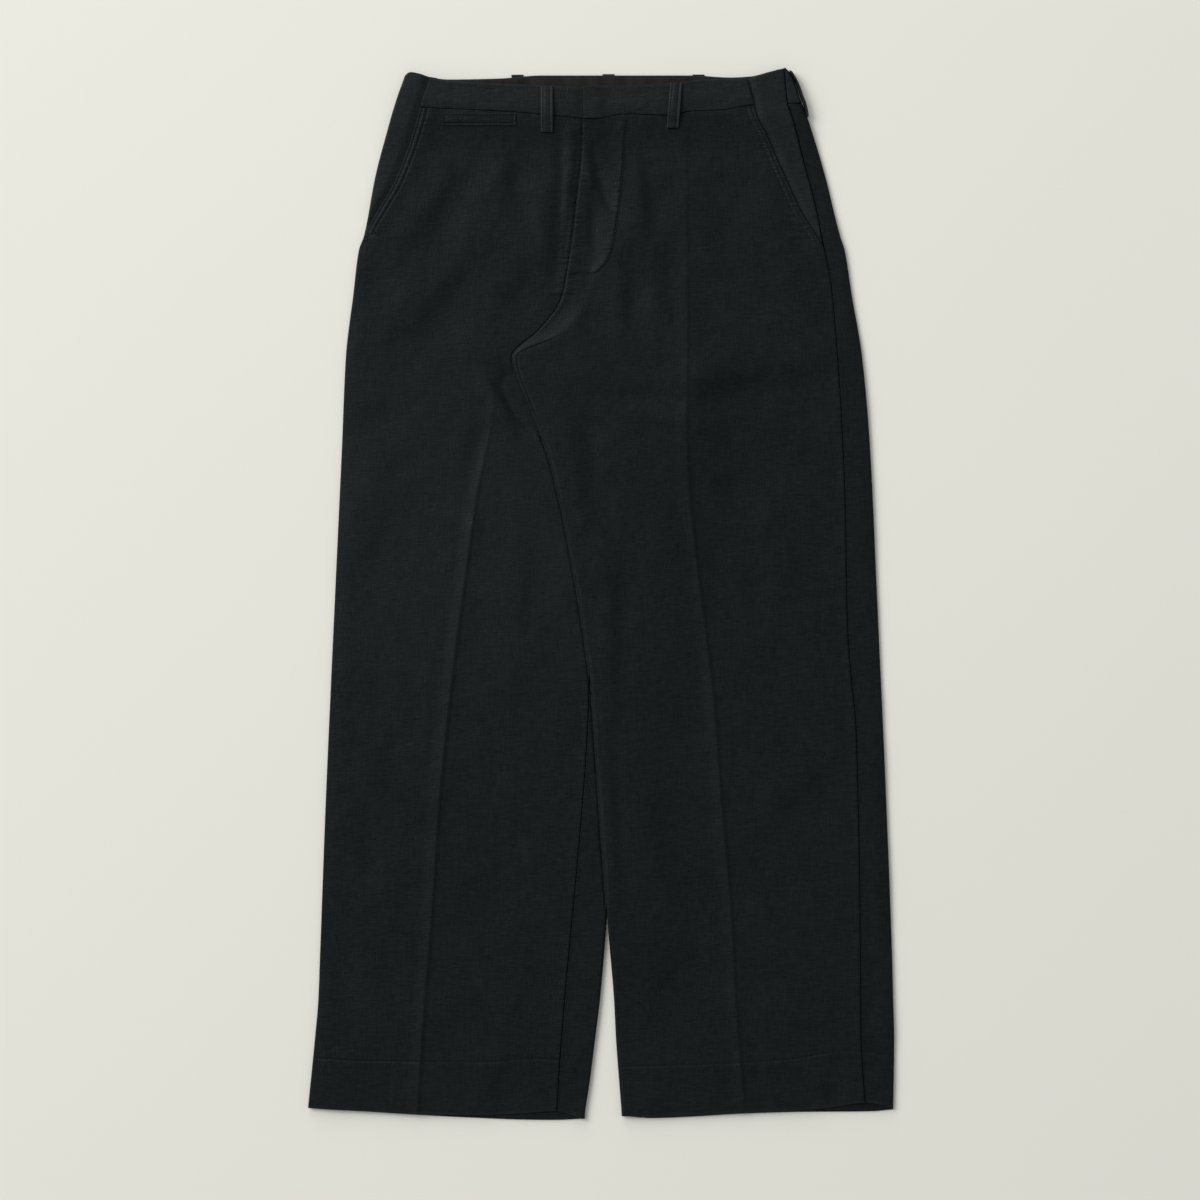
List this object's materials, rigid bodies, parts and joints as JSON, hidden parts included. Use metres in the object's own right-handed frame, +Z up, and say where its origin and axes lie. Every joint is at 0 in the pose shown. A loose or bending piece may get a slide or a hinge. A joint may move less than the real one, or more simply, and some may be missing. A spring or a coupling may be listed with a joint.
{
  "type": "work trousers laid flat",
  "caption": "Wide flat-front work trousers laid flat on their back, with fly, slanted side pockets, coin pocket and belt loops.",
  "frame": {"origin": "middle of the trousers' outline, on the surface that they lie on", "axes": "+X to the wearer's left, +Y from the hems to the waist, +Z up from the surface"},
  "size_m": [0.5858, 1.0495, 0.012],
  "materials": {
    "moleskin": "matt blue-black cotton moleskin with a slight nap",
    "moleskin_band": "the same cotton in pressed layers, a little lighter",
    "brown_facing": "matt brownish black cotton drill"
  },
  "bodies": {
    "root": {"front_right": "moleskin", "front_left": "moleskin", "back_right": "moleskin", "back_left": "moleskin", "side_panel_right": "moleskin", "side_panel_left": "moleskin", "waistband_front_right": "moleskin_band", "waistband_front_left": "moleskin_band", "waistband_back": "moleskin_band", "waistband_facing": "brown_facing", "fly_placket": "moleskin", "coin_pocket_welt": "moleskin", "belt_loop_front_right": "moleskin_band", "belt_loop_front_left": "moleskin_band", "belt_loop_side_left": "moleskin_band", "belt_loop_side_right": "moleskin_band", "belt_loop_back_right": "moleskin_band", "belt_loop_back_middle": "moleskin_band", "belt_loop_back_left": "moleskin_band"}
  },
  "joints": []
}
